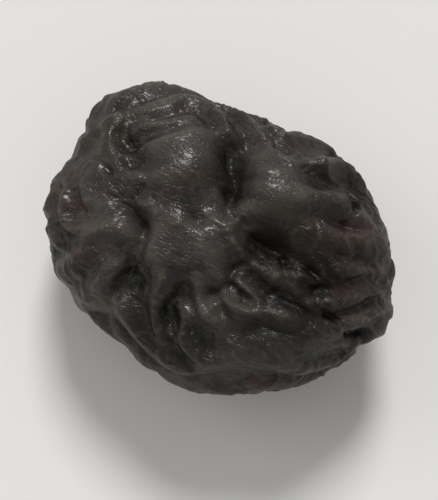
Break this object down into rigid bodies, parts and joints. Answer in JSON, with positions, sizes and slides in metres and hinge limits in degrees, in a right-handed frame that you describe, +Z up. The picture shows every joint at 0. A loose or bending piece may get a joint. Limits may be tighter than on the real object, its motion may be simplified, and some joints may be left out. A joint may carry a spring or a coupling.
{
  "type": "prune",
  "caption": "Whole dried plum with deeply wrinkled dark skin, a stem scar at its blunt end and a small point at the other, lying on its broad side.",
  "frame": {"origin": "middle of the box's underside, on the surface that the fruit rests on", "axes": "+X from the stem end towards the pointed end, +Z up through the broad side"},
  "size_m": [0.031, 0.0234, 0.0165],
  "materials": {
    "prune_skin": "moist dried plum skin: near-black brown with plum-red tints in the thin folds, a dull greyish bloom on the crests and small glints"
  },
  "bodies": {
    "root": {"prune": "prune_skin"}
  },
  "joints": []
}
